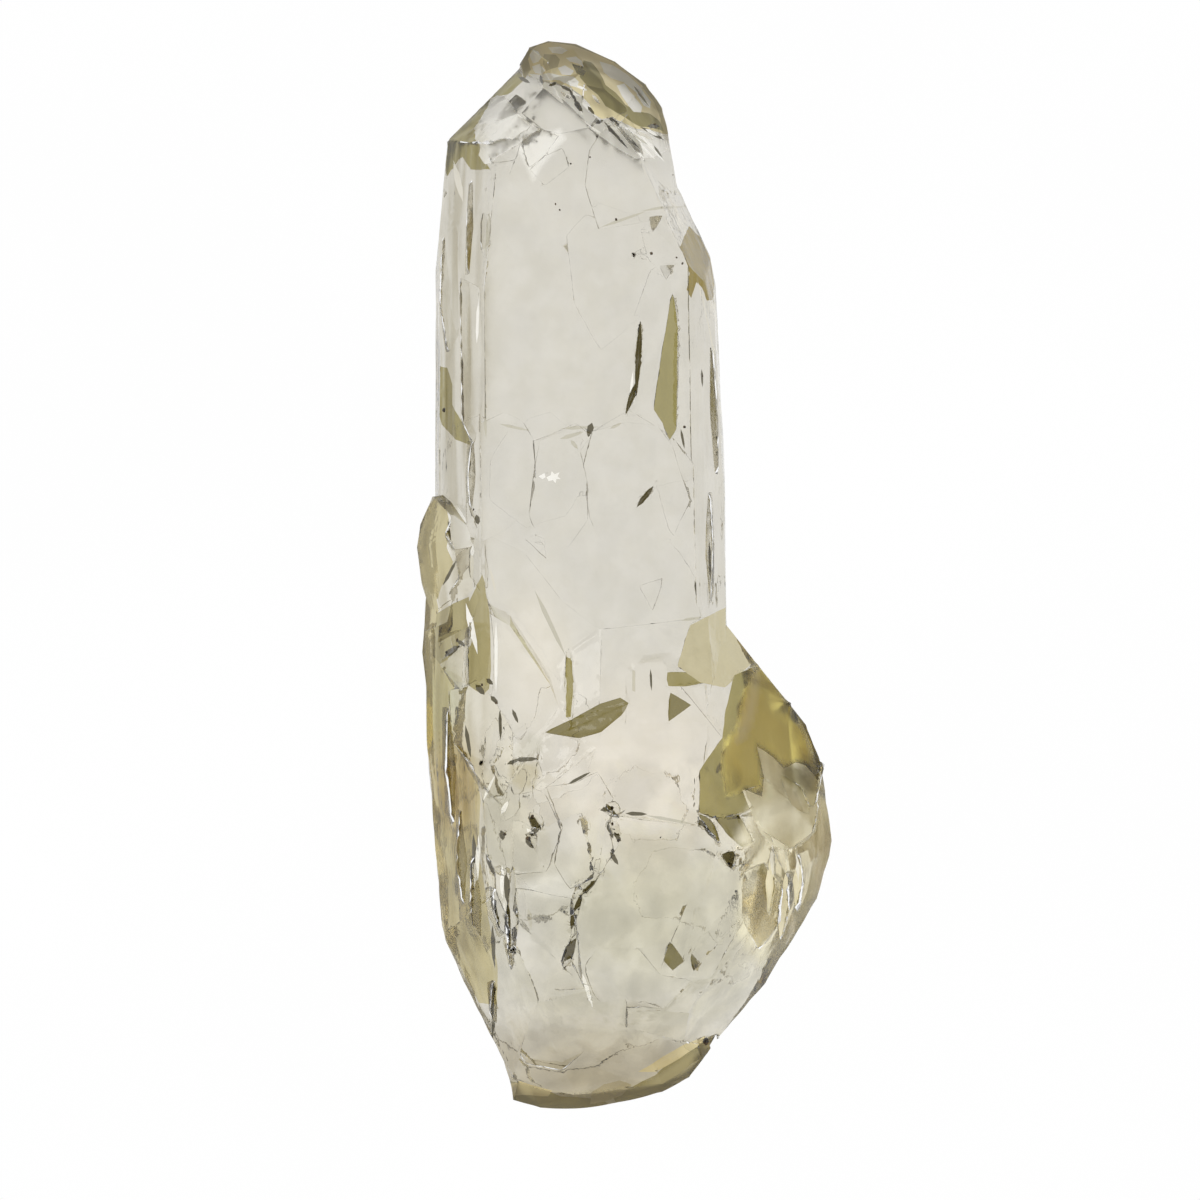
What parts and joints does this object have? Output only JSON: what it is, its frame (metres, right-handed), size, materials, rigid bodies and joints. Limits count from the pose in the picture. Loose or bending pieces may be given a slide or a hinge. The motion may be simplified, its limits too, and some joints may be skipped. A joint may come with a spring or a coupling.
{
  "type": "heliodor specimen",
  "caption": "Rough see-through prism of golden beryl with a broken rounded top, a lump on its left edge, a stepped lower trunk and a swelling on its right side.",
  "frame": {"origin": "middle of the crystal's outline in plan, on the plane of the flat back face it rests on", "axes": "+Y along the crystal's length towards its broken rounded top, +Z out of the face that is looked at, +X towards the swelling on its right side"},
  "size_m": [0.0164, 0.042, 0.0082],
  "materials": {
    "heliodor": "natural etched and broken faces, glassy, pale golden yellow"
  },
  "bodies": {
    "root": {"heliodor_crystal": "heliodor"}
  },
  "joints": []
}
